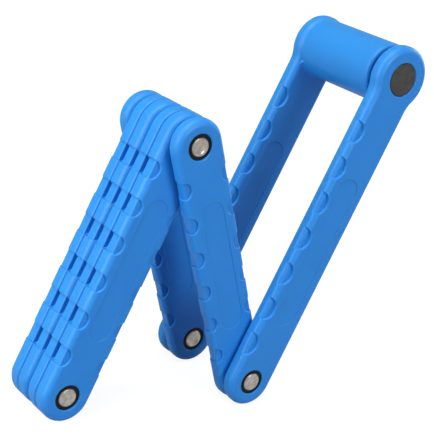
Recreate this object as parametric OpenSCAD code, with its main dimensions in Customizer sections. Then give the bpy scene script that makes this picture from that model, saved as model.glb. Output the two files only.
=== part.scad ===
// Folding bike lock: eight covered steel links on seven rivets, with a lock barrel on the rear end link.
// The row stands on the lower ends of its links, half folded. +Y is the rivet direction, rear of the lock.

/* [Links] */
// Distance between the two rivets of a middle link
link_len = 115; // [105:1:125]
// Distance from the rivet of an end link to the centre of its eye
end_len = 145.4; // [143:0.1:155]
// Width of a link over its cover
link_w = 22.6; // [21:0.1:24]
// Thickness of a link over its cover
link_t = 7.2; // [6.8:0.1:7.6]
// Air gap between two neighbouring links
link_gap = 0.2; // [0.2:0.05:0.6]
// Radius of the round eye at the top of an end link
eye_r = 14.2; // [13.8:0.1:15]
// Radius of the hollow neck between an eye and its link
neck_r = 12; // [9:0.5:14]

/* [Pose] */
// Distance between the feet of the stack and the feet of the end links
foot_span = 83.6; // [60:0.5:100]
// Lean of the end links above the ground
end_lean = 68; // [62:1:74]

/* [Covers] */
// Width of the steel plate inside a link
plate_w = 17.4; // [16.5:0.1:18]
// Thickness of the steel plate inside a link
plate_t = 3.6; // [3:0.1:4]
// Rounding of a cover's soft edges
soft_edge = 2.8; // [1.5:0.1:3]
// Rounding of a cover's tight edges, where two stacked links lie back to back
tight_edge = 1.1; // [0.5:0.1:1.3]
// Distance from a rivet to the first grip notch
notch_first = 16; // [15:0.1:17]
// Distance between two grip notches of a middle link
notch_pitch = 16.6; // [15.5:0.1:17]
// Distance between two grip notches of an end link
end_notch_pitch = 16.8; // [16:0.1:17]
// Radius of a grip notch in a middle link
notch_r = 4; // [3.6:0.1:4.6]
// Radius of a grip notch in an end link
end_notch_r = 5.2; // [4.8:0.1:5.6]
// Depth of a grip notch in both faces of a middle link
notch_depth = 1.1; // [0.9:0.05:1.4]
// Depth of a grip notch in the front face of an end link
end_notch_depth = 1.4; // [1.2:0.1:1.8]
// How far the web between two notches steps in from the side of the link
web_step = 0.7; // [0.4:0.1:1]
// Depth of the long panel in the face of a cover
panel_depth = 0.25; // [0.15:0.05:0.4]

/* [Rivets] */
// Radius of a rivet's shank
shank_r = 3; // [2.8:0.1:3.2]
// Radius of a rivet's head
head_r = 4.05; // [4:0.05:4.3]
// Thickness of a rivet's head
head_t = 1.5; // [1.2:0.1:1.8]
// Radius of the black bush that shows as a ring round a rivet's head
bush_r = 5.65; // [5.4:0.05:5.8]
// Running clearance of the rivets and of the lock's turning parts
run = 0.05; // [0.03:0.01:0.08]

/* [Lock] */
// Radius of the lock barrel over its cover
barrel_r = 13.35; // [13:0.05:13.5]
// Gap between the mouth of the barrel and the front end link
barrel_gap = 1.5; // [1:0.1:1.6]
// Radius of the steel disc in the front eye, which is the closed end of the bolt's socket
disc_r = 7.3; // [7:0.1:7.6]
// Radius of the socket behind its disc
socket_r = 9.4; // [8.8:0.1:9.8]
// Radius of the lock bolt
bolt_r = 5.3; // [5:0.1:5.5]
// Travel of the bolt for a quarter turn of the key
bolt_travel = 5.8; // [5.4:0.1:6]

/* [Hidden] */
// The links from front to rear, and the rivets that join each one to the next
LINKS = ["front_end", "front_middle", "stack_1", "stack_2", "stack_3", "stack_4", "rear_middle", "rear_end"];
RIVETS = ["front_foot", "front_top", "stack_foot_1", "stack_top", "stack_foot_2", "rear_top", "rear_foot"];
$fn = 96;
FRONT_END = 0;
REAR_END = 7;

blue = "#3B8EE5";
steel = "#B8B4AC";
plate_steel = "#7D8085";
black = "#101216";
dark_steel = "#55534F";
brass_tone = "#C9A24B";

// Pose in the plane of the links, measured from the lower rivets of the end links
pitch_y = link_t + link_gap;
link_half = link_w / 2;
apex_rise = sqrt(pow(link_len, 2) - pow(foot_span / 2, 2));
stack_lean = acos(foot_span / 2 / link_len);
end_foot = [0, 0];
stack_foot = [-foot_span, 0];
apex = [-foot_span / 2, apex_rise];
eye = [end_len * cos(end_lean), end_len * sin(end_lean)];

// The row's origin is at the bottom centre of its box
box_low_x = stack_foot[0] - link_half;
box_high_x = eye[0] + eye_r;
stack_depth = REAR_END * pitch_y + link_t;
origin_shift = [-(box_low_x + box_high_x) / 2, -stack_depth / 2, link_half];

// Lower rivet, lean and front and rear edge roundings of each link
LOWER = [end_foot, end_foot, stack_foot, stack_foot, stack_foot, stack_foot, end_foot, end_foot];
LEAN = [end_lean, 180 - stack_lean, stack_lean, stack_lean, stack_lean, stack_lean, 180 - stack_lean,
        end_lean];
FRONT_EDGE = [soft_edge, soft_edge, soft_edge, tight_edge, soft_edge, tight_edge, soft_edge, soft_edge];
REAR_EDGE = [soft_edge, soft_edge, tight_edge, soft_edge, tight_edge, soft_edge, soft_edge, soft_edge];

// Places in a link, measured along it from its lower rivet and across it from its front face.
// An end link's plate lies nearer the rear, behind the floors of its deep notches.
notch_floor = 0.4;
plate_margin = 1.6;
middle_plate_y = (link_t - plate_t) / 2;
end_plate_y = end_notch_depth + notch_floor;
plate_half = plate_w / 2;
plate_eye_r = eye_r - plate_margin;
panel_half = 5.5;
panel_start = 26;
panel_end = link_len - panel_start;
end_panel_start = 28;
end_panel_end = 98;
middle_notches = 6;
end_notches = 7;
// How far outside the side of the link a notch's centre lies
notch_offset = 0.1;
end_notch_offset = 1;
notch_flare = 0.35;
hole_flare = 0.4;
// Rounding of the webs that are left between front and rear notches, and of the floors of the end notches
web_edge = 0.6;
floor_edge = 2.2;
// How far a cutting core stands proud of the side that it has to leave alone
core_proud = 0.05;
neck_z = link_half + neck_r;
// The neck's curve ends just inside the eye's circle instead of only touching it
neck_bite = 0.03;
neck_setback = sqrt(pow(eye_r + neck_r - neck_bite, 2) - pow(neck_z, 2));
neck_arc = atan(neck_setback / neck_z);
neck_x = end_len - neck_setback;
neck_core = 7;
// How far a cutting tool runs past the face that it cuts
over = 1;

// Rivets and bushes, measured inwards from the outer face of their link
head_sink = 0.1;
head_bevel = 0.35;
head_clear = 0.1;
head_seat = head_sink + head_t;
dimple_r = 9;
dimple_depth = 0.45;
bush_sink = 0.9;
thrust = 0.05;

// The lock's parts, measured rearwards from the front face of the front link
mouth_y = link_t + barrel_gap;
rear_link_y = REAR_END * pitch_y;
plate_front_y = rear_link_y + end_plate_y;
plate_rear_y = plate_front_y + plate_t;
mouth_lip = 0.4;
housing_front_y = mouth_y + mouth_lip;
housing_r = 11.2;
ring_r = 9.6;
ring_end_y = 11.5;
bolt_chamber_r = 7.2;
bolt_sink = 0.2;
bolt_front_y = mouth_y + bolt_sink;
bolt_bevel = 0.8;
bolt_shoulder_y = 17.5;
bolt_tail_r = 4.3;
bolt_tail_end_y = 33;
cam_r = 6.5;
cam_bore_r = 4.6;
cam_front_y = 18;
cam_rear_y = 34.4;
cam_floor = 1;
cam_steps = 9;
pin_r = 1.4;
pin_slot_r = 1.7;
pin_y = 27.2;
pin_reach = 7.9;
pin_groove_r = 8.2;
groove_front_y = pin_y - bolt_travel - pin_slot_r;
core_r = 9;
core_front_y = 34.5;
plug_r = 6.5;
plug_sink = 0.3;
plug_rear_y = rear_link_y + link_t - plug_sink;
disc_chamber_r = 4.9;
disc_chamber_y = [38, 55.5];
tumbler_count = 7;
tumbler_t = 1.9;
tumbler_pitch = 2.45;
keyway_w = 2.4;
keyway_h = 7.6;
side_bar_r = 0.9;
side_bar_z = 5.45;
side_bar_y = [38.5, 55];
bezel_r = 9.6;
bezel_bore_r = 6.8;
bezel_sink = 0.1;
bezel_y = rear_link_y + link_t - bezel_sink;
bezel_bevel = 0.35;
screw_r = 2;
screw_y = 46;
screw_seat = 7.6;
// The screw is flat-ended, so it stops where its rim still clears the round wall of the housing
screw_top = sqrt(pow(housing_r, 2) - pow(screw_r, 2)) - head_clear;
screw_socket_depth = 1.6;
disc_bevel = 0.3;
disc_t = 1.1;
socket_play = 0.8;
socket_floor = 2;

// The barrel's sleeve, measured rearwards from the front face of its link. A hollow curve leaves the
// straight wall and meets the rounded rim of the eye, which it crosses at a slight angle.
mouth_edge = 1.5;
swell_r = 3;
swell_bite = 0.01;
swell_span = swell_r + soft_edge - swell_bite;
swell_run = barrel_r + swell_r - (eye_r - soft_edge);
swell_start_y = soft_edge - sqrt(pow(swell_span, 2) - pow(swell_run, 2));
swell_join_r = eye_r - soft_edge + swell_run * soft_edge / swell_span;
root_r = 1.8;
root_half = 9.8;
root_draft = 1.2;
root_low = 0.3;

function is_end(k) = k == FRONT_END || k == REAR_END;
function reach(k) = is_end(k) ? end_len : link_len;
// Rivet holes of a link, measured along it from its lower rivet
function rivet_holes(k) = is_end(k) ? [0] : [0, link_len];
// A rivet head shows on the front of the link before the joint and on the rear of the link after it.
// The lower rivets join links 0-1, 2-3, 4-5 and 6-7, and the upper ones join 1-2, 3-4 and 5-6.
function head_on_front(k, at_foot) = at_foot ? k % 2 == 0 : k % 2 == 1;

// Moves a drawing from the pose plane, measured from the end links' lower rivets, to the row's frame
module in_row() {
    translate(origin_shift) children();
}

// Lays a link's own drawing, with its lower rivet at the origin and its length along +X, in the row
module as_link(k) {
    in_row()
        translate([LOWER[k][0], k * pitch_y, LOWER[k][1]])
            rotate([0, -LEAN[k], 0])
                children();
}

// A disc or a rod along +Y, from y0 to y1
module rod(r, y0, y1, r_end = 0) {
    translate([0, y0, 0])
        rotate([-90, 0, 0])
            cylinder(r1 = r, r2 = r_end == 0 ? r : r_end, h = y1 - y0);
}

// Half of a cover's section: width along X, thickness along Y, with its two outer edges rounded
module half_section(half, thick, front_edge, rear_edge) {
    difference() {
        square([half, thick]);
        translate([half - front_edge, 0]) corner_waste(front_edge);
        if (rear_edge > 0)
            translate([half - rear_edge, thick]) mirror([0, 1]) corner_waste(rear_edge);
    }
}

// What a rounding takes off a square corner that lies at [edge, 0]
module corner_waste(edge) {
    difference() {
        translate([0, -over]) square([edge + over, edge + over]);
        translate([0, edge]) circle(edge);
    }
}

// A turned piece of a section about the Y axis, from angle a0 above +X and on through arc
module turned(a0, arc) {
    rotate([0, -a0, 0])
        rotate([90, 0, 0])
            rotate_extrude(angle = arc)
                mirror([0, 1])
                    children();
}

// A straight piece of a half section and its mirror image, along X
module straight(x0, x1) {
    translate([x0, 0, 0])
        rotate([90, 0, 90])
            linear_extrude(x1 - x0)
                mirror([1, -1]) {
                    children();
                    mirror([1, 0]) children();
                }
}

// The blank of a middle link's cover: straight sides and two round ends
module middle_blank(front_edge, rear_edge) {
    straight(0, link_len) half_section(link_half, link_t, front_edge, rear_edge);
    turned(90, 180) half_section(link_half, link_t, front_edge, rear_edge);
    translate([link_len, 0, 0]) turned(-90, 180) half_section(link_half, link_t, front_edge, rear_edge);
}

// The blank of an end link's cover: straight sides that flow through two hollow necks into the round
// eye, which is turned from the half section given as a child
module end_blank() {
    straight(0, neck_x) half_section(link_half, link_t, soft_edge, soft_edge);
    turned(90, 180) half_section(link_half, link_t, soft_edge, soft_edge);
    translate([end_len, 0, 0]) turned(0, 360) children();
    for (side = [0, 1])
        mirror([0, 0, side])
            translate([neck_x, 0, neck_z])
                turned(-90, neck_arc)
                    translate([neck_r + link_half, 0])
                        mirror([1, 0])
                            half_section(link_half, link_t, soft_edge, soft_edge);
    translate([neck_x - over, 0, -neck_core]) cube([end_len - neck_x + over, link_t, 2 * neck_core]);
}

// Puts a drawing at each grip notch of a middle link: along both of its sides
module at_middle_notches() {
    for (side = [0, 1], i = [0 : middle_notches - 1])
        mirror([0, 0, side])
            translate([notch_first + i * notch_pitch, 0, link_half + notch_offset])
                children();
}

// What the grip notches take out of a middle link: bites right through it, but for a rounded web
module middle_grips() {
    difference() {
        at_middle_notches() rod(notch_r, -over, link_t + over);
        translate([0, notch_depth, 0])
            straight(0, link_len)
                half_section(link_half - web_step, link_t - 2 * notch_depth, web_edge, web_edge);
    }
    at_middle_notches() notch_rim(notch_r);
    at_rear_face() at_middle_notches() notch_rim(notch_r);
}

// What the grip notches take out of an end link: bites in one side of the front face, with a floor that
// rounds over into the side of the link
module end_grips() {
    difference() {
        at_end_notches() rod(end_notch_r, -over, end_notch_depth + floor_edge);
        translate([0, end_notch_depth, 0])
            straight(0, end_len)
                half_section(link_half + core_proud, link_t, floor_edge, 0);
    }
    at_end_notches() notch_rim(end_notch_r);
}

// Puts a drawing at each grip notch of an end link: along one of its sides
module at_end_notches() {
    for (i = [0 : end_notches - 1])
        translate([notch_first + i * end_notch_pitch, 0, link_half + end_notch_offset])
            children();
}

// The bevelled rim of a notch or a hole in the front face
module notch_rim(r, flare = notch_flare) {
    rod(r + flare + over, -over, flare, r);
}

// The long panel sunk in a cover's front face, from x0 to x1
module panel_cut(x0, x1) {
    for (x = [x0 + panel_half, x1 - panel_half])
        translate([x, 0, 0]) rod(panel_half, -over, panel_depth);
    translate([x0 + panel_half, -over, -panel_half])
        cube([x1 - x0 - 2 * panel_half, over + panel_depth, 2 * panel_half]);
}

// Turns a cut in a link's front face into the same cut in its rear face
module at_rear_face() {
    translate([0, link_t, 0]) mirror([0, 1, 0]) children();
}

// The steel plate's outline, solid, for cutting its pocket in the cover
module plate_blank(k) {
    translate([0, is_end(k) ? end_plate_y : middle_plate_y, 0]) {
        translate([0, 0, -plate_half]) cube([reach(k), plate_t, plate_w]);
        rod(plate_half, 0, plate_t);
        translate([reach(k), 0, 0]) rod(is_end(k) ? plate_eye_r : plate_half, 0, plate_t);
    }
}

// The steel plate inside a link, with a hole at each rivet and, on an end link, one in its eye
module link_plate(k) {
    color(plate_steel)
        as_link(k)
            difference() {
                plate_blank(k);
                for (x = rivet_holes(k))
                    translate([x, 0, 0]) rod(bush_r, -over, link_t + over);
                if (k == FRONT_END)
                    translate([end_len, 0, 0]) rod(socket_r, -over, link_t + over);
                if (k == REAR_END)
                    translate([end_len, 0, 0]) rod(core_r, -over, link_t + over);
            }
}

// The cover of a middle link: notched along both sides of both faces, with webs between the notches
module middle_cover(k) {
    color(blue)
        as_link(k)
            difference() {
                middle_blank(FRONT_EDGE[k], REAR_EDGE[k]);
                plate_blank(k);
                middle_grips();
                panel_cut(panel_start, panel_end);
                at_rear_face() panel_cut(panel_start, panel_end);
                for (x = rivet_holes(k))
                    translate([x, 0, 0]) rivet_hole(head_on_front(k, x == 0));
            }
}

// The hole for a rivet's bush, bevelled on the face where the rivet's head shows
module rivet_hole(on_front) {
    rod(bush_r, -over, link_t + over);
    if (on_front) notch_rim(bush_r, hole_flare);
    else at_rear_face() notch_rim(bush_r, hole_flare);
}

// What is cut from both end links' covers: notches on one side, a panel, the plate and the rivet hole
module end_cuts(k) {
    plate_blank(k);
    end_grips();
    panel_cut(end_panel_start, end_panel_end);
    rivet_hole(head_on_front(k, true));
}

// The front end link's cover, with the hole of the bolt's socket in its eye
module front_end_cover() {
    color(blue)
        as_link(FRONT_END)
            difference() {
                end_blank() half_section(eye_r, link_t, soft_edge, soft_edge);
                end_cuts(FRONT_END);
                translate([end_len, 0, 0]) {
                    rod(disc_r, -over, disc_t + over);
                    rod(socket_r, disc_t, link_t + over);
                    notch_rim(disc_r, hole_flare);
                }
            }
}

// Half section of the rear eye and the barrel's sleeve about their axis, measured from the front face of
// the rear end link: a rounded mouth, a straight wall, and a hollow curve that swells into the eye's rim
module sleeve_section() {
    wall_start = mouth_y - rear_link_y;
    half_section(eye_r, link_t, soft_edge, soft_edge);
    translate([0, wall_start]) half_section(barrel_r, soft_edge - wall_start, mouth_edge, 0);
    difference() {
        translate([0, swell_start_y]) square([swell_join_r, soft_edge - swell_start_y]);
        translate([barrel_r + swell_r, swell_start_y]) circle(swell_r);
    }
}

// The ring that fills the corner between the barrel and the flat of its link
module root_fillet() {
    turned(0, 360)
        difference() {
            translate([0, -root_r]) square([barrel_r + root_r, root_r + soft_edge]);
            translate([barrel_r + root_r, -root_r]) circle(root_r);
        }
}

// Half section of the block that bounds the fillet: its sides slope down to the link's rounded edges
module root_section() {
    polygon([[0, -root_r], [root_half - root_draft, -root_r], [root_half, root_low],
             [root_half, soft_edge], [0, soft_edge]]);
}

// The rear end link's cover, moulded in one piece with the sleeve of the lock barrel
module rear_end_cover() {
    color(blue)
        as_link(REAR_END)
            difference() {
                union() {
                    end_blank() sleeve_section();
                    intersection() {
                        translate([end_len, 0, 0]) root_fillet();
                        straight(end_len / 2, end_len) root_section();
                    }
                }
                end_cuts(REAR_END);
                translate([end_len, 0, 0]) {
                    rod(housing_r, mouth_y - rear_link_y - over, end_plate_y + over);
                    rod(bezel_r, end_plate_y, link_t + over);
                }
            }
}

// A nylon bush round a rivet, seen from outside as a black ring, with the rivet's head sunk in it.
// play is 0 where the rivet is pressed in, and the running clearance where the link turns on it.
module bush(play) {
    difference() {
        rod(bush_r, bush_sink, link_t + thrust);
        rod(head_r + head_clear, -over, head_seat + play);
        rod(shank_r + play, 0, link_t + over);
    }
}

// A link's bushes: it turns on the rivet whose head shows on its front, and holds the one on its rear
module link_bushes(k) {
    color(black)
        as_link(k)
            for (x = rivet_holes(k))
                translate([x, 0, 0])
                    if (head_on_front(k, x == 0)) bush(run);
                    else at_rear_face() bush(0);
}

// A rivet's head, its outer face at y = 0: a bevelled button with a round dimple from the riveting tool
module rivet_head() {
    difference() {
        union() {
            rod(head_r - head_bevel, 0, head_bevel, head_r);
            rod(head_r, head_bevel, head_t);
        }
        translate([0, dimple_depth - dimple_r, 0]) sphere(dimple_r);
    }
}

// A rivet through two links, counted from the front
module rivet(i) {
    length = pitch_y + link_t - 2 * head_sink;
    place = i % 2 == 1 ? apex : LOWER[i];
    color(steel)
        in_row()
            translate([place[0], i * pitch_y + head_sink, place[1]]) {
                rivet_head();
                rod(shank_r, head_t / 2, length - head_t / 2);
                translate([0, length, 0]) mirror([0, 1, 0]) rivet_head();
            }
}

// Lays a part of the lock, drawn about the Y axis from the front link's front face, on the eyes' axis
module at_eye() {
    in_row() translate([eye[0], 0, eye[1]]) children();
}

// The hardened cup in the front eye: its closed end is the grey disc, its mouth takes the bolt, and the
// cover holds it by the step behind the disc
module eye_socket() {
    color(dark_steel)
        at_eye()
            difference() {
                union() {
                    rod(disc_r - disc_bevel, 0, disc_bevel, disc_r);
                    rod(disc_r, disc_bevel, disc_t + over);
                    rod(socket_r, disc_t, link_t);
                }
                rod(bolt_r + socket_play, socket_floor, link_t + over);
            }
}

// The steel tube inside the barrel: bolt chamber in front, seat of the lock core behind
module barrel_housing() {
    color(plate_steel)
        at_eye()
            difference() {
                rod(housing_r, housing_front_y, plate_front_y);
                rod(ring_r, 0, ring_end_y);
                rod(bolt_chamber_r, 0, core_front_y + over);
                rod(core_r, core_front_y, plate_front_y + over);
                translate([-pin_groove_r, groove_front_y, -pin_slot_r])
                    cube([2 * pin_groove_r, core_front_y - groove_front_y, 2 * pin_slot_r]);
                translate([0, screw_y, 0]) cylinder(r = screw_r, h = housing_r + over);
            }
}

// The ring that closes the barrel's mouth and guides the bolt
module barrel_mouth_ring() {
    color(dark_steel)
        at_eye()
            difference() {
                rod(ring_r, housing_front_y, ring_end_y);
                rod(bolt_r + run, 0, ring_end_y + over);
            }
}

// The fixed shell that the key plug turns in, with the groove that the side bar drops into when locked
module lock_core() {
    color(brass_tone)
        at_eye()
            difference() {
                rod(core_r, core_front_y, plate_rear_y);
                rod(plug_r + run, core_front_y - over, plate_rear_y + over);
                translate([0, 0, plug_r]) rod(side_bar_r, side_bar_y[0], side_bar_y[1]);
                translate([0, screw_y, screw_seat]) cylinder(r = screw_r, h = core_r);
            }
}

// The grub screw that keeps the core in the housing, hidden under the sleeve
module core_screw() {
    color(steel)
        at_eye()
            translate([0, screw_y, screw_seat])
                difference() {
                    cylinder(r = screw_r, h = screw_top - screw_seat);
                    translate([0, 0, screw_top - screw_seat - screw_socket_depth])
                        cylinder(r = screw_r / 2, h = screw_socket_depth + over, $fn = 6);
                }
}

// The polished ring round the keyway in the rear face
module keyway_bezel() {
    color(steel)
        at_eye()
            difference() {
                union() {
                    rod(bezel_r, plate_rear_y, bezel_y - bezel_bevel);
                    rod(bezel_r, bezel_y - bezel_bevel, bezel_y, bezel_r - bezel_bevel);
                }
                rod(bezel_bore_r, plate_rear_y - over, bezel_y + over);
            }
}

// A slot that takes the key, from y0 to y1
module keyway(y0, y1) {
    translate([-keyway_w / 2, y0, -keyway_h / 2]) cube([keyway_w, y1 - y0, keyway_h]);
}

// The plug that the key turns: a drum with a chamber for the discs and a groove for the side bar
module key_plug() {
    color(brass_tone)
        at_eye()
            difference() {
                rod(plug_r, cam_rear_y, plug_rear_y);
                rod(disc_chamber_r, disc_chamber_y[0], disc_chamber_y[1]);
                keyway(disc_chamber_y[1] - over, plug_rear_y + over);
                side_bar_blank();
            }
}

module side_bar_blank() {
    translate([0, 0, side_bar_z]) rod(side_bar_r, side_bar_y[0], side_bar_y[1]);
}

// The coded discs inside the plug, lined up as the key leaves them
module tumbler_discs() {
    color(steel)
        at_eye()
            for (i = [0 : tumbler_count - 1])
                difference() {
                    rod(disc_chamber_r, disc_chamber_y[0] + i * tumbler_pitch,
                        disc_chamber_y[0] + i * tumbler_pitch + tumbler_t);
                    keyway(disc_chamber_y[0], disc_chamber_y[1]);
                    side_bar_blank();
                }
}

// The bar that the discs let drop when the key is right
module side_bar() {
    color(dark_steel)
        at_eye() side_bar_blank();
}

// The drum cam on the front of the plug: two slots climb a quarter turn round it and drive the cam pin
module bolt_cam() {
    color(dark_steel)
        at_eye()
            difference() {
                rod(cam_r, cam_front_y, cam_rear_y);
                rod(cam_bore_r, cam_front_y - over, cam_rear_y - cam_floor);
                for (i = [0 : cam_steps])
                    rotate([0, -90 * i / cam_steps, 0])
                        translate([-cam_r - over, pin_y - bolt_travel * i / cam_steps, 0])
                            rotate([0, 90, 0])
                                cylinder(r = pin_slot_r, h = 2 * (cam_r + over));
            }
}

// The lock bolt, drawn back: a stout pin with a tail inside the cam
module lock_bolt() {
    color(steel)
        at_eye()
            difference() {
                union() {
                    rod(bolt_r - bolt_bevel, bolt_front_y, bolt_front_y + bolt_bevel, bolt_r);
                    rod(bolt_r, bolt_front_y + bolt_bevel, bolt_shoulder_y);
                    rod(bolt_tail_r, bolt_shoulder_y - over, bolt_tail_end_y);
                }
                cam_pin_blank(over);
            }
}

module cam_pin_blank(extra = 0) {
    translate([-pin_reach - extra, pin_y, 0])
        rotate([0, 90, 0])
            cylinder(r = pin_r, h = 2 * (pin_reach + extra));
}

// The cross pin in the bolt's tail: it rides in the cam's slots and in two straight grooves of the housing
module cam_pin() {
    color(steel)
        at_eye() cam_pin_blank();
}

for (k = [0 : len(LINKS) - 1])
    link_plate(k);
for (k = [FRONT_END + 1 : REAR_END - 1])
    middle_cover(k);
front_end_cover();
rear_end_cover();
for (k = [0 : len(LINKS) - 1])
    link_bushes(k);
for (i = [0 : len(RIVETS) - 1])
    rivet(i);
eye_socket();
barrel_housing();
barrel_mouth_ring();
lock_core();
core_screw();
keyway_bezel();
key_plug();
tumbler_discs();
side_bar();
bolt_cam();
lock_bolt();
cam_pin();
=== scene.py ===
# %% [markdown]
# # A folding bike lock
#
# This lesson dresses the finished construction model of a folding bike lock. Eight steel links under
# blue moulded rubber are riveted in a zigzag chain. The first end link carries a steel disc in a round
# eye, and the last one carries the lock barrel. The shapes come from the construction model. This file
# adds the camera, the light and every surface's finish.

# %% Load the construction model
import math
import bpy
from mathutils import Matrix, Vector
from mathutils.bvhtree import BVHTree


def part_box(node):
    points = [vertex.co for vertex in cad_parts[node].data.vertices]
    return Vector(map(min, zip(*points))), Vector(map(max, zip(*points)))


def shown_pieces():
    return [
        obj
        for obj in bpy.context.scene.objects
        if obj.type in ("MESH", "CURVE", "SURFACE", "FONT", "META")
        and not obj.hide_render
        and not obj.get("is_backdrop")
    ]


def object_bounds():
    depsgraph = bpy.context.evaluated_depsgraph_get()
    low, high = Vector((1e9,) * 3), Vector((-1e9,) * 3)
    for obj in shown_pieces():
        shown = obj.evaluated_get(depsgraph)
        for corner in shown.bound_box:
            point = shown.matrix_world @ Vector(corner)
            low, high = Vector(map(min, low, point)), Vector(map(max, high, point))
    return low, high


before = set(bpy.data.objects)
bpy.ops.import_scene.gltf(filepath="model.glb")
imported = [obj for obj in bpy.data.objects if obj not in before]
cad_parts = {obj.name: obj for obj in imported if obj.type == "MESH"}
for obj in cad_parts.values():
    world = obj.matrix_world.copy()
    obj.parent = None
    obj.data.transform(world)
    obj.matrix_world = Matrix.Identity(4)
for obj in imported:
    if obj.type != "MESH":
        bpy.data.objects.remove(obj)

cad_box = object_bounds()

# %% [markdown]
# ## Points measured in the photograph
#
# The picture is 434 pixels square. These points are the only pixel numbers here. They settle the camera,
# and at the end the file measures how far the finished lock shows from each of them. The first four are
# the outermost places of the lock, and the others are the middles of the rivet heads and of the disc.

# %% Named image points
WIDTH = 434
HEIGHT = 434
EDGE_POINTS = {"left": 11.9, "right": 426.2, "top": 16.3, "bottom": 421.4}
FEATURE_POINTS = {
    "stack_foot_1_rivet": (67.6, 398.2),
    "front_top_rivet": (200.2, 148.3),
    "front_foot_rivet": (252.9, 382.2),
    "rear_foot_rivet": (192.3, 338.9),
    "eye_socket": (402.8, 79.9),
}
print("image points:", len(EDGE_POINTS) + len(FEATURE_POINTS))

# %% [markdown]
# ## The camera
#
# A camera could be placed by eye and nudged. Here the rivets' centres and the outline were measured in
# the photograph and the camera was worked out from them, so the lock is drawn in the photograph's own
# perspective. The values are the direction, the height, a small roll, the distance and the lens. The
# picture isn't shifted.

# %% Aim the camera
CAMERA_AZIMUTH = math.radians(-39.092)
CAMERA_ELEVATION = math.radians(19.309)
CAMERA_ROLL = math.radians(9.262)
CAMERA_DISTANCE = 0.5513
CAMERA_TARGET = Vector((-0.00235, -0.00645, 0.08102))
LENS = 108.22
SENSOR = 36.0

back = Vector((
    math.sin(CAMERA_AZIMUTH) * math.cos(CAMERA_ELEVATION),
    -math.cos(CAMERA_AZIMUTH) * math.cos(CAMERA_ELEVATION),
    math.sin(CAMERA_ELEVATION),
))
level_right = Vector((0, 0, 1)).cross(back).normalized()
level_up = back.cross(level_right)
right = level_right * math.cos(CAMERA_ROLL) + level_up * math.sin(CAMERA_ROLL)
up = level_up * math.cos(CAMERA_ROLL) - level_right * math.sin(CAMERA_ROLL)

camera = bpy.data.objects.new("camera", bpy.data.cameras.new("camera"))
camera.data.lens = LENS
camera.data.sensor_width = SENSOR
camera.data.sensor_fit = "AUTO"
camera.data.clip_start = 0.01
axes = Matrix((right, up, back)).transposed().to_4x4()
camera.matrix_world = Matrix.Translation(CAMERA_TARGET + back * CAMERA_DISTANCE) @ axes
bpy.context.scene.collection.objects.link(camera)
bpy.context.scene.camera = camera
bpy.context.view_layer.update()
print("camera stands at", [round(value, 4) for value in camera.location])

# %% [markdown]
# ## A way to write finishes as sums
#
# A finish is a small web of nodes. Drawing each node by hand makes long code, so a wire can be added,
# taken away and multiplied as a number is, and each sign adds its Math node. Every other kind of node
# comes from one method, which sets the node's own settings first and then its sockets.

# %% Wires and finishes
class Wire:
    """One output of a node, with which a finish is reckoned."""

    def __init__(self, finish, socket):
        self.finish = finish
        self.socket = socket

    def reckon(self, sign, first, second):
        return self.finish.node("ShaderNodeMath", {"operation": sign}, {0: first, 1: second})

    def __add__(self, other):
        return self.reckon("ADD", self, other)

    def __sub__(self, other):
        return self.reckon("SUBTRACT", self, other)

    def __mul__(self, other):
        return self.reckon("MULTIPLY", self, other)

    def __rsub__(self, other):
        return self.reckon("SUBTRACT", other, self)

    __radd__ = __add__
    __rmul__ = __mul__


class Finish:
    """The nodes of a material or of the world, while they are being built."""

    def __init__(self, owner):
        self.owner = owner
        owner.use_nodes = True
        self.tree = owner.node_tree
        self.tree.nodes.clear()
        self.place = self.node("ShaderNodeTexCoord", {}, {}, "Object")

    def node(self, kind, settings, sockets, output=0):
        made = self.tree.nodes.new(kind)
        for name, value in settings.items():
            if name == "stops":
                self.set_stops(made.color_ramp, value)
            else:
                setattr(made, name, value)
        for name, value in sockets.items():
            if isinstance(value, Wire):
                self.tree.links.new(value.socket, made.inputs[name])
            else:
                made.inputs[name].default_value = value
        return Wire(self, made.outputs[output]) if made.outputs else None

    def set_stops(self, ramp, stops):
        for index, (position, level) in enumerate(stops):
            stop = ramp.elements[index] if index < len(ramp.elements) else ramp.elements.new(position)
            stop.position = position
            stop.color = (level, level, level, 1)

    def surface(self, sockets):
        shader = self.node("ShaderNodeBsdfPrincipled", {}, sockets)
        self.node("ShaderNodeOutputMaterial", {}, {"Surface": shader})
        return self.owner


def ramp(wire, *stops):
    """Bends a value through the given (position, level) stops."""
    return wire.finish.node("ShaderNodeValToRGB", {"stops": stops}, {"Fac": wire})


def noise(finish, scale, detail, place=None):
    """Soft cloudy variation from 0 to 1."""
    sockets = {"Vector": place or finish.place, "Scale": scale, "Detail": detail, "Roughness": 0.6}
    return finish.node("ShaderNodeTexNoise", {}, sockets)


def blend_colours(factor, first, second):
    """The first colour where the factor is 0, the second where it is 1."""
    sockets = {0: factor, 6: (*first, 1) if isinstance(first, tuple) else first, 7: (*second, 1)}
    return factor.finish.node("ShaderNodeMix", {"data_type": "RGBA"}, sockets, 2)


def softened(finish, radius):
    """The surface's direction, as if every edge were rounded to that radius."""
    return finish.node("ShaderNodeBevel", {"samples": 6}, {"Radius": radius})


def edge_mask(finish, radius):
    """Near 1 along edges and 0 on flats: rounding turns the surface's direction only at an edge."""
    flat = finish.node("ShaderNodeNewGeometry", {}, {}, "Normal")
    sockets = {0: flat, 1: softened(finish, radius)}
    agreement = finish.node("ShaderNodeVectorMath", {"operation": "DOT_PRODUCT"}, sockets, "Value")
    return 1 - agreement


def shade_mask(finish, reach):
    """Near 1 deep in corners and notches, where little light comes in, and 0 on open faces."""
    sockets = {"Distance": reach}
    open_share = finish.node("ShaderNodeAmbientOcclusion", {"samples": 6}, sockets, "AO")
    return 1 - open_share


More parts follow.
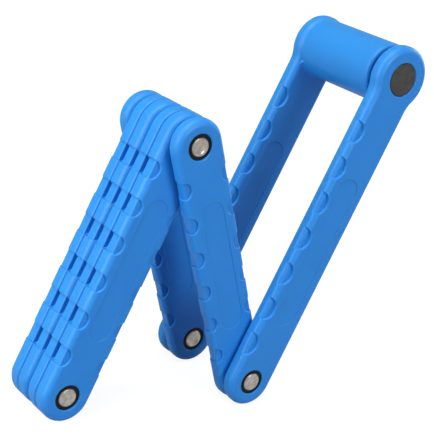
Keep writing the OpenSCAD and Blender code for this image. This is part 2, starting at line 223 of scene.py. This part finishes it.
def bumps(finish, height, strength, distance, normal=None):
    sockets = {"Height": height, "Strength": strength, "Distance": distance}
    if normal is not None:
        sockets["Normal"] = normal
    return finish.node("ShaderNodeBump", {}, sockets)


print("finish tools are ready")

# %% [markdown]
# ## The blue rubber covers
#
# On the real lock each steel link is moulded over with satin blue silicone rubber. Its colour is even, the
# faces carry a very fine grain from the mould, and no edge is truly sharp. A plain blue would look like a
# computer's plastic. So the edges and the corners are found from the shape itself, and each changes the
# colour a little: the edges are painted paler and made duller, partly as rubbed wear and partly as a painted
# highlight where rounded edges catch light, and the slots, notches and steps are painted darker as painted
# shade where little light comes in. The grain goes in as tiny bumps. Silicone also lets light sink in by
# about a millimetre, which keeps its shadows blue where a painted surface would turn grey.

# %% Finish of the covers
COVER_BLUE = (0.020, 0.248, 0.69)
# Paler edge colour: partly rubbed wear, partly a painted highlight where rounded edges catch light
COVER_EDGE_WEAR_AND_HIGHLIGHT = (0.060, 0.330, 0.81)
COVER_DEEP = (0.019, 0.219, 0.62)
# Painted shade colour for the slots, notches and steps
COVER_PAINTED_SHADE = (0.008, 0.145, 0.52)


def make_cover_rubber():
    finish = Finish(bpy.data.materials.new("cover_rubber"))
    edges = ramp(edge_mask(finish, 0.0006), (0.01, 0), (0.22, 1))
    clouds = noise(finish, 45, 3)
    scuffs = ramp(noise(finish, 420, 4), (0.45, 0), (0.75, 1))
    colour = blend_colours(ramp(clouds, (0.3, 0), (0.7, 1)) * 0.5, COVER_BLUE, COVER_DEEP)
    # Painted highlight and wear: the edges are painted paler, partly as rubbed wear and partly as light
    # caught on rounded edges
    colour = blend_colours(edges * (0.25 + 0.35 * scuffs), colour, COVER_EDGE_WEAR_AND_HIGHLIGHT)
    # Painted shade: the deep slots between the links, then the low steps round the notches and the long
    # panels, are painted darker where little light comes in
    painted_slot_shade = ramp(shade_mask(finish, 0.0022), (0.50, 0), (0.95, 1))
    colour = blend_colours(painted_slot_shade * 0.6, colour, COVER_PAINTED_SHADE)
    painted_step_shade = ramp(shade_mask(finish, 0.0009), (0.12, 0), (0.5, 1))
    colour = blend_colours(painted_step_shade * 0.4, colour, COVER_PAINTED_SHADE)
    grain = noise(finish, 3800, 2) + 0.6 * noise(finish, 900, 2)
    rough = 0.38 + 0.10 * clouds + 0.10 * edges + 0.06 * scuffs
    return finish.surface({
        "Base Color": colour,
        "Roughness": rough,
        "Normal": bumps(finish, grain, 0.10, 0.0001, softened(finish, 0.0004)),
        "Specular IOR Level": 0.37,
        "Subsurface Weight": 0.5,
        "Subsurface Radius": (0.3, 1.0, 1.0),
        "Subsurface Scale": 0.001,
    })


cover_rubber = make_cover_rubber()
print("made", cover_rubber.name)

# %% [markdown]
# ## The metal pieces
#
# The rivet heads are stainless steel, pressed with a round tool: satin, a little uneven, and darker towards
# the rim beside the black bush. The disc in the eye is dark hardened steel, turned on a lathe. Turning
# leaves rings round one centre, so those finishes read their place from the axis that the piece was turned
# on. The axes come from the boxes of the construction model's own rivets.

# %% Axes of the turned pieces
def middle_of(node):
    low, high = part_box(node)
    return (low + high) / 2


AXES = {
    "foot": middle_of("front_foot_rivet"),
    "top": middle_of("front_top_rivet"),
    "stack_foot": middle_of("stack_foot_1_rivet"),
    "eye": middle_of("eye_socket"),
}
for name, middle in AXES.items():
    print(name, "axis at x", round(middle.x, 4), "z", round(middle.z, 4))

# %% [markdown]
# ## How turned metal is made up
#
# A sine of the distance from the axis makes the rings, a stretched noise makes the scratches, and a soft
# one makes the duller blotches. The colour turns darker and rougher from a given distance from the axis
# outwards, and the edges that are touched most are smoother than the rest.

# %% Finish of turned and pressed metal
def from_axis(finish, axis):
    """The place measured from an axis along Y, and the distance from it in metres."""
    place = finish.node("ShaderNodeMapping", {"vector_type": "POINT"},
                        {"Vector": finish.place, "Location": (-axis.x, 0, -axis.z)})
    flat = finish.node("ShaderNodeVectorMath", {"operation": "MULTIPLY"}, {0: place, 1: (1, 0, 1)})
    radius = finish.node("ShaderNodeVectorMath", {"operation": "LENGTH"}, {0: flat}, "Value")
    return place, radius


def make_turned_metal(name, axis, tone, dull_tone, roughness, ring_pitch, ring_depth, dark_rim_radius):
    finish = Finish(bpy.data.materials.new(name))
    place, radius = from_axis(finish, axis)
    rings = finish.node("ShaderNodeMath", {"operation": "SINE"}, {0: radius * (2 * math.pi / ring_pitch)})
    blotches = noise(finish, 430, 4, place)
    scratches = noise(finish, 60, 5, finish.node(
        "ShaderNodeMapping", {"vector_type": "POINT"}, {"Vector": place, "Scale": (9, 1, 70)}))
    # Darker and rougher from about this distance from the axis outwards
    rim_darkening = ramp(radius * (1 / dark_rim_radius), (0.80, 0), (1.0, 1))
    edges = ramp(edge_mask(finish, 0.0003), (0.02, 0), (0.30, 1))
    colour = blend_colours(ramp(blotches, (0.36, 0), (0.66, 1)) * 0.8, tone, dull_tone)
    colour = blend_colours(rim_darkening * 0.45, colour, tuple(0.45 * part for part in dull_tone))
    rough = roughness + 0.16 * (blotches - 0.5) + 0.14 * rim_darkening - 0.08 * edges
    height = rings * ring_depth + 0.4 * scratches + 0.15 * blotches
    return finish.surface({
        "Base Color": colour,
        "Metallic": 1.0,
        "Roughness": rough,
        "Normal": bumps(finish, height, 0.22, 0.00006, softened(finish, 0.0002)),
    })


print("turned metal is ready to be used")

# %% [markdown]
# ## One finish for each kind of metal
#
# Rivets that share an axis share a finish. Everything in the barrel was turned on the eye's axis. For each
# metal come its clean and its dull tone, how satin it is, the step between two rings with their depth, and
# the distance from the axis at which the darkening towards the rim is full.

# %% Make the metals
rivet_finish = {
    row: make_turned_metal(
        f"rivet_steel_{row}", AXES[row], tone=(0.67, 0.585, 0.485), dull_tone=(0.37, 0.315, 0.255),
        roughness=0.24, ring_pitch=0.0006, ring_depth=0.05, dark_rim_radius=0.0041)
    for row in ("foot", "top", "stack_foot")
}
disc_steel = make_turned_metal(
    "disc_steel", AXES["eye"], tone=(0.104, 0.098, 0.088), dull_tone=(0.070, 0.069, 0.064),
    roughness=0.42, ring_pitch=0.0005, ring_depth=0.4, dark_rim_radius=0.0075)
lock_steel = make_turned_metal(
    "lock_steel", AXES["eye"], tone=(0.50, 0.50, 0.51), dull_tone=(0.33, 0.33, 0.34),
    roughness=0.30, ring_pitch=0.0004, ring_depth=0.5, dark_rim_radius=0.0112)
bezel_steel = make_turned_metal(
    "bezel_steel", AXES["eye"], tone=(0.72, 0.72, 0.73), dull_tone=(0.55, 0.55, 0.56),
    roughness=0.14, ring_pitch=0.0004, ring_depth=0.2, dark_rim_radius=0.0100)
lock_brass = make_turned_metal(
    "lock_brass", AXES["eye"], tone=(0.72, 0.53, 0.25), dull_tone=(0.48, 0.34, 0.15),
    roughness=0.26, ring_pitch=0.0004, ring_depth=0.3, dark_rim_radius=0.0066)
print("made", len(rivet_finish) + 4, "metal finishes")

# %% [markdown]
# ## The bushes and the plates
#
# A black nylon bush shows as a ring round each rivet head. Nylon is satin and picks up patches of pale
# dust. The plates are hardened strip steel, which nothing shows of while the covers are whole, but
# they get their rolled finish too, so that the lock may be shown opened.

# %% Finish of the bushes and the plates
def make_bush_nylon():
    finish = Finish(bpy.data.materials.new("bush_nylon"))
    dust = ramp(noise(finish, 700, 4), (0.5, 0), (0.8, 1))
    colour = blend_colours(dust * 0.5, (0.002, 0.0024, 0.003), (0.010, 0.012, 0.016))
    grain = noise(finish, 4200, 2)
    return finish.surface({
        "Base Color": colour,
        "Roughness": 0.42 + 0.2 * dust,
        "Specular IOR Level": 0.22,
        "Normal": bumps(finish, grain, 0.12, 0.00008, softened(finish, 0.0002)),
    })


def make_strip_steel():
    finish = Finish(bpy.data.materials.new("strip_steel"))
    rolled = noise(finish, 40, 5, finish.node(
        "ShaderNodeMapping", {"vector_type": "POINT"}, {"Vector": finish.place, "Scale": (2, 1, 60)}))
    edges = ramp(edge_mask(finish, 0.0004), (0.02, 0), (0.3, 1))
    colour = blend_colours(rolled, (0.34, 0.35, 0.37), (0.50, 0.51, 0.53))
    return finish.surface({
        "Base Color": colour,
        "Metallic": 1.0,
        "Roughness": 0.42 + 0.15 * rolled - 0.1 * edges,
        "Normal": bumps(finish, rolled, 0.15, 0.00008),
    })


bush_nylon = make_bush_nylon()
strip_steel = make_strip_steel()
print("made", bush_nylon.name, "and", strip_steel.name)

# %% [markdown]
# ## Each node gets its finish
#
# The construction model already carries a material slot on each node. The new finish goes into that slot,
# so the shape and the name of the node stay as they were.

# %% Hand the finishes out
LOCK_FINISH = {
    "eye_socket": disc_steel,
    "barrel_mouth_ring": disc_steel,
    "barrel_housing": lock_steel,
    "core_screw": lock_steel,
    "lock_bolt": lock_steel,
    "cam_pin": lock_steel,
    "tumbler_discs": lock_steel,
    "side_bar": disc_steel,
    "bolt_cam": disc_steel,
    "keyway_bezel": bezel_steel,
    "lock_core": lock_brass,
    "key_plug": lock_brass,
}


def finish_of(node):
    if node in LOCK_FINISH:
        return LOCK_FINISH[node]
    if node.endswith("_rivet"):
        row = "stack_foot" if node.startswith("stack_foot") else "foot" if "foot" in node else "top"
        return rivet_finish[row]
    if node.endswith("_cover"):
        return cover_rubber
    if node.endswith("_bushes"):
        return bush_nylon
    return strip_steel


for name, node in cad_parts.items():
    for slot in range(max(1, len(node.material_slots))):
        if slot < len(node.material_slots):
            node.material_slots[slot].material = finish_of(name)
        else:
            node.data.materials.append(finish_of(name))
print("finished", len(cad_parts), "nodes")

# %% [markdown]
# ## The floor and the sky
#
# The photograph is a plain product picture, white all round. More lamps would make a floor white, but they
# would wash out the lock too. So the pale floor has a glow which shows to the camera and in mirror images
# only, and the background comes out white without any more light on the lock, whose soft shadow stays.
# Away from the lock the lamps reach the floor less, so the glow grows with the distance. The sky is a little
# blue, as is the light that the floor throws back, which makes shaded rubber a deep blue.

# %% Floor and sky
SKY_LEVEL = 0.135
SKY_TINT = (0.50, 0.75, 1.0)
WHITE = (1.0, 1.0, 1.0)
FLOOR_SIZE = 12.0
FLOOR_REACH = 3.0
# How much the floor glows at shares of that reach, in metres from the lock
FLOOR_GLOW = ((0.0, 0.902), (0.15, 0.91), (0.45, 0.97), (1.0, 1.0))
MIRRORED_GLOW = 0.4


def seen_directly(finish):
    """1 for what the camera sees, less for mirror images, and 0 for rays that only carry light."""
    kinds = [finish.node("ShaderNodeLightPath", {}, {}, name)
             for name in ("Is Camera Ray", "Is Transmission Ray", "Is Glossy Ray")]
    total = kinds[0] + kinds[1] + MIRRORED_GLOW * kinds[2]
    return finish.node("ShaderNodeMath", {"operation": "MINIMUM"}, {0: total, 1: 1.0})


def make_floor():
    bpy.ops.object.select_all(action="DESELECT")
    bpy.ops.mesh.primitive_plane_add(size=FLOOR_SIZE, location=(0, 0, 0))
    floor = bpy.context.object
    floor.name = "floor"
    finish = Finish(bpy.data.materials.new("floor_paper"))
    grain = noise(finish, 30, 4)
    paper = finish.node("ShaderNodeBsdfPrincipled", {}, {
        "Base Color": blend_colours(grain, (0.24, 0.28, 0.36), (0.27, 0.31, 0.39)),
        "Roughness": 0.9,
        "Specular IOR Level": 0.0,
    })
    away = finish.node("ShaderNodeVectorMath", {"operation": "LENGTH"}, {0: finish.place}, "Value")
    glow = finish.node("ShaderNodeBsdfPrincipled", {}, {
        "Base Color": blend_colours(grain, (0.15, 0.15, 0.15), (0.17, 0.17, 0.17)),
        "Roughness": 0.9,
        "Specular IOR Level": 0.0,
        "Emission Color": ramp(away * (1 / FLOOR_REACH), *FLOOR_GLOW),
        "Emission Strength": 1.0,
    })
    mixed = finish.node("ShaderNodeMixShader", {}, {0: seen_directly(finish), 1: paper, 2: glow})
    finish.node("ShaderNodeOutputMaterial", {}, {"Surface": mixed})
    floor.data.materials.append(finish.owner)
    floor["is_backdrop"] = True
    return floor


def make_sky():
    sky = Finish(bpy.data.worlds.new("sky"))
    seen = seen_directly(sky)
    colour = blend_colours(seen, SKY_TINT, WHITE)
    level = SKY_LEVEL + (1 - SKY_LEVEL) * seen
    glow = sky.node("ShaderNodeBackground", {}, {"Color": colour, "Strength": level})
    sky.node("ShaderNodeOutputWorld", {}, {"Surface": glow})
    bpy.context.scene.world = sky.owner


floor = make_floor()
make_sky()
print("floor at z", floor.location.z)

# %% [markdown]
# ## The lamps
#
# Soft light comes from large lamps, and hard light from small or far ones. A large square lamp hangs over
# the lock, and a near one lights the left sides of the links. A weaker lamp in front stands in line with the
# lean of the end links, so that the front one shades the rear one as in the photograph. The last lamp
# brightens the right edges. The first two are a little warm, which turns lit rubber towards cyan. The energy
# of a lamp has to grow with the square of its distance, so it is worked out from the level that is wanted.

# %% Lamps
WARM = (1.0, 1.0, 0.92)


def make_lamp(name, direction, distance, size, level, tint=WHITE):
    """A square lamp that lights a surface facing it to the given level."""
    lamp = bpy.data.lights.new(name, "AREA")
    lamp.color = tint
    lamp.shape = "SQUARE"
    lamp.size = size
    lamp.energy = level * math.pi ** 2 * distance ** 2
    stand = bpy.data.objects.new(name, lamp)
    toward = Vector(direction).normalized()
    middle = (cad_box[0] + cad_box[1]) / 2
    stand.location = middle + toward * distance
    stand.rotation_mode = "QUATERNION"
    stand.rotation_quaternion = toward.to_track_quat("Z", "Y")
    bpy.context.scene.collection.objects.link(stand)
    return stand


make_lamp("top_lamp", (-0.30, -0.05, 0.95), 1.3, 1.0, 0.90, WARM)
make_lamp("left_fill", (-0.90, 0.0, 0.30), 0.50, 0.36, 0.86, WARM)
make_lamp("front_lamp", (0.15, -0.90, 0.35), 1.4, 0.6, 0.52)
make_lamp("right_rim", (0.96, 0.04, 0.28), 1.4, 0.8, 0.35)
bpy.context.scene.view_settings.view_transform = "Standard"
print("lamps:", [lamp.name for lamp in bpy.data.lights])

# %% [markdown]
# ## Measuring the finished lock
#
# Each named point is compared with the finished lock as the camera sees it. Two helpers do this. One tells
# where a point of the lock shows in the picture. The other sends a ray the opposite way, from the camera
# through a place in the picture. The results are printed, and nothing here stops the lesson.

# %% See through the camera
LONG_SIDE = max(WIDTH, HEIGHT)
PIXELS_TO_LENS = LONG_SIDE * LENS / SENSOR
into_camera = camera.matrix_world.inverted()


def picture_place(point):
    """Where a point shows in the picture, in pixels."""
    local = into_camera @ point
    scale = PIXELS_TO_LENS / -local.z
    return WIDTH / 2 + local.x * scale, HEIGHT / 2 - local.y * scale


def ray_through(x, y):
    """The direction from the camera through a place in the picture."""
    across = x - WIDTH / 2 + camera.data.shift_x * LONG_SIDE
    upward = HEIGHT / 2 - y + camera.data.shift_y * LONG_SIDE
    return (camera.matrix_world.to_3x3() @ Vector((across, upward, -PIXELS_TO_LENS))).normalized()


print("a metre at the lock's middle spans", round(PIXELS_TO_LENS / CAMERA_DISTANCE), "pixels")

# %% [markdown]
# ## What the camera can see
#
# A corner of a mesh may be hidden by another piece. All the pieces together go into one search tree, which
# finds the first face that a ray meets. It tells if a corner shows, and which piece a pixel shows.

# %% Find what hides what
corners = []
faces = []
piece_of_face = []
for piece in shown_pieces():
    start = len(corners)
    corners += [piece.matrix_world @ vertex.co for vertex in piece.data.vertices]
    for polygon in piece.data.polygons:
        faces.append([start + index for index in polygon.vertices])
        piece_of_face.append(piece.name)
lock_surface = BVHTree.FromPolygons(corners, faces)
eye_place = camera.matrix_world.translation


def shows(point):
    """True if nothing stands between the camera and the point."""
    toward = point - eye_place
    hit, normal, index, distance = lock_surface.ray_cast(eye_place, toward.normalized())
    return distance is None or distance > toward.length - 0.00005


def node_at(x, y):
    """The name of the piece that a place in the picture shows."""
    hit, normal, index, distance = lock_surface.ray_cast(eye_place, ray_through(x, y))
    return piece_of_face[index] if index is not None else None


print("faces to look at:", len(faces))

# %% [markdown]
# ## How far each thing shows from its point
#
# The edges come from the outermost corners that show. The middle of a rivet head or of the disc is the
# middle of what shows of it. The name beside it is the piece that the point in the picture lies on.

# %% Compare with the named points
places = [picture_place(point) for point in corners if shows(point)]
edges_seen = {
    "left": min(x for x, y in places),
    "right": max(x for x, y in places),
    "top": min(y for x, y in places),
    "bottom": max(y for x, y in places),
}
report = {name: round(edges_seen[name] - EDGE_POINTS[name], 2) for name in EDGE_POINTS}
for name, (x, y) in FEATURE_POINTS.items():
    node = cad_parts[name]
    near = [picture_place(vertex.co) for vertex in node.data.vertices if shows(vertex.co)]
    spans = [(min(axis) + max(axis)) / 2 for axis in zip(*near)]
    report[name] = [round(spans[0] - x, 2), round(spans[1] - y, 2), node_at(x, y)]
for name, difference in report.items():
    print(name, difference)
